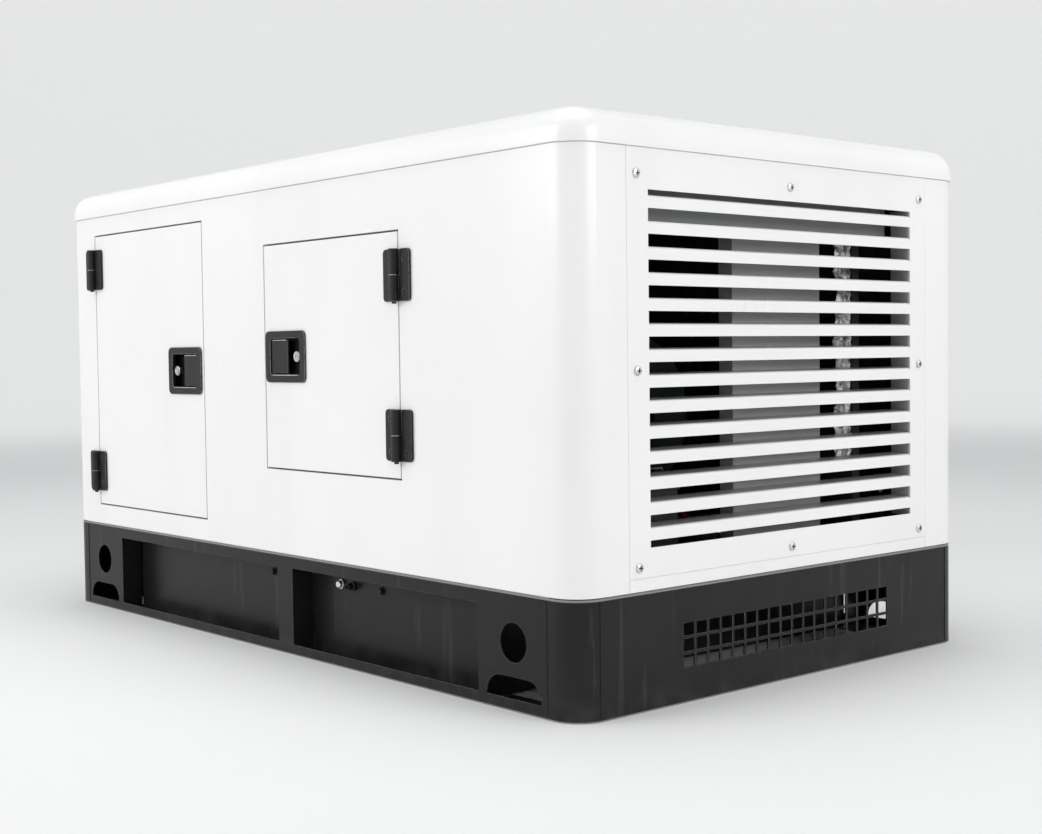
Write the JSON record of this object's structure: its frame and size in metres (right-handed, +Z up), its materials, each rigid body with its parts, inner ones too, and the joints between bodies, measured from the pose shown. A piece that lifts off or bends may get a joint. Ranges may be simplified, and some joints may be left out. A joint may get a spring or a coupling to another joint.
{
  "type": "standby generator",
  "caption": "Standby generator set: steel base with fuel tank and lifting holes, sheet canopy with two hinged service doors, louvred ends, engine, alternator and controls inside.",
  "frame": {"origin": "centre of the base's resting face, on the floor", "axes": "+X along the set toward the air inlet louvres, -Y toward the service doors, +Z up"},
  "size_m": [1.703, 1.0223, 0.9275],
  "materials": {
    "white_paint": "gloss white powder coat",
    "black_paint": "semi-gloss black powder coat",
    "grey_paint": "grey painted sheet",
    "engine_paint": "painted casting",
    "cast_iron": "as cast",
    "black_hardware": "matt black textured coat",
    "zinc": "bright zinc plate",
    "radiator_aluminium": "brazed aluminium",
    "rubber": "black rubber",
    "acoustic_foam": "open-cell acoustic lining",
    "black_plastic": "moulded black plastic",
    "red_plastic": "gloss red plastic",
    "exhaust_steel": "heat-dulled steel"
  },
  "bodies": {
    "enclosure": {"base_frame": "black_paint", "fuel_tank": "black_paint", "tank_drain_plug": "zinc", "fuel_filler_neck": "black_paint", "engine_bearer": "black_paint", "alternator_bearer": "black_paint", "canopy_front_side": "white_paint", "canopy_rear_side": "white_paint", "rear_wall_foam": "acoustic_foam", "roof_lid": "white_paint", "roof_foam": "acoustic_foam", "inlet_louvre_panel": "white_paint", "outlet_louvre_panel": "white_paint", "inlet_end_frame": "white_paint", "outlet_end_frame": "white_paint", "inlet_baffle": "grey_paint", "engine_block": "engine_paint", "cylinder_head": "engine_paint", "oil_filter": "white_paint", "starter_motor": "black_paint", "air_cleaner": "black_plastic", "fan_belt": "rubber", "radiator": "radiator_aluminium", "fan_shroud": "black_paint", "flywheel_housing": "cast_iron", "alternator": "engine_paint", "exhaust_manifold": "cast_iron", "muffler": "exhaust_steel", "battery": "black_plastic", "control_cabinet": "grey_paint", "engine_mount_door_side": "rubber", "engine_mount_rear_side": "rubber", "alternator_mount_door_side": "rubber", "alternator_mount_rear_side": "rubber", "left_lower_hinge_wall_leaf": "black_hardware", "left_upper_hinge_wall_leaf": "black_hardware", "right_lower_hinge_wall_leaf": "black_hardware", "right_upper_hinge_wall_leaf": "black_hardware"},
    "left_door": {"left_door": "white_paint", "left_door_foam": "acoustic_foam", "left_latch_housing": "black_hardware", "left_lower_hinge_door_leaf": "black_hardware", "left_upper_hinge_door_leaf": "black_hardware"},
    "right_door": {"right_door": "white_paint", "right_door_foam": "acoustic_foam", "right_latch_housing": "black_hardware", "right_lower_hinge_door_leaf": "black_hardware", "right_upper_hinge_door_leaf": "black_hardware"},
    "left_paddle": {"left_latch_paddle": "black_hardware"},
    "right_paddle": {"right_latch_paddle": "black_hardware"},
    "left_key": {"left_key_cylinder": "zinc"},
    "right_key": {"right_key_cylinder": "zinc"},
    "crank": {"crank_pulley": "cast_iron"},
    "fan": {"cooling_fan": "black_plastic"},
    "fuel_cap": {"fuel_filler_cap": "black_plastic"},
    "coolant_cap": {"radiator_cap": "zinc"},
    "stop_button": {"emergency_stop_button": "red_plastic"},
    "start_key": {"start_key_switch": "zinc"},
    "breaker": {"breaker_lever": "black_plastic"}
  },
  "joints": [
    {"name": "left_door_hinge", "type": "hinge", "parent": "enclosure", "child": "left_door", "pos_m": [-0.715, -0.5093, 0.5304], "axis": [0, 0, -1], "range_deg": [0, 120]},
    {"name": "right_door_hinge", "type": "hinge", "parent": "enclosure", "child": "right_door", "pos_m": [0.4175, -0.5093, 0.55675], "axis": [0, 0, 1], "range_deg": [0, 120]},
    {"name": "left_paddle_pull", "type": "hinge", "parent": "left_door", "child": "left_paddle", "pos_m": [-0.2685, -0.4988, 0.5304], "axis": [0, 0, 1], "range_deg": [0, 40], "stiffness_Nm_per_rad": 0.6},
    {"name": "right_paddle_pull", "type": "hinge", "parent": "right_door", "child": "right_paddle", "pos_m": [0.021, -0.4988, 0.55675], "axis": [0, 0, -1], "range_deg": [0, 40], "stiffness_Nm_per_rad": 0.6},
    {"name": "left_key_turn", "type": "hinge", "parent": "left_door", "child": "left_key", "pos_m": [-0.3485, -0.4893, 0.5304], "axis": [0, -1, 0], "range_deg": [0, 90]},
    {"name": "right_key_turn", "type": "hinge", "parent": "right_door", "child": "right_key", "pos_m": [0.101, -0.4893, 0.55675], "axis": [0, -1, 0], "range_deg": [0, 90]},
    {"name": "crank_spin", "type": "hinge", "parent": "enclosure", "child": "crank", "pos_m": [-0.538, 0, 0.35], "axis": [1, 0, 0], "continuous": true},
    {"name": "fan_spin", "type": "hinge", "parent": "enclosure", "child": "fan", "pos_m": [-0.59, 0, 0.47], "axis": [1, 0, 0], "continuous": true},
    {"name": "fuel_cap_turn", "type": "hinge", "parent": "enclosure", "child": "fuel_cap", "pos_m": [-0.3, -0.3597, 0.3], "axis": [0, 0, 1], "range_deg": [0, 90]},
    {"name": "coolant_cap_turn", "type": "hinge", "parent": "enclosure", "child": "coolant_cap", "pos_m": [-0.67, -0.15, 0.7003], "axis": [0, 0, 1], "range_deg": [0, 90]},
    {"name": "stop_button_push", "type": "slide", "parent": "enclosure", "child": "stop_button", "axis": [0, 1, 0], "range_m": [0, 0.005]},
    {"name": "start_key_turn", "type": "hinge", "parent": "enclosure", "child": "start_key", "pos_m": [0.25, -0.43, 0.47], "axis": [0, 1, 0], "range_deg": [0, 90]},
    {"name": "breaker_throw", "type": "hinge", "parent": "enclosure", "child": "breaker", "pos_m": [0.11, -0.4473, 0.475], "axis": [1, 0, 0], "range_deg": [-35, 35]}
  ],
  "couplings": [
    {"joint": "fan_spin", "follows": "crank_spin", "ratio": 1.3}
  ]
}
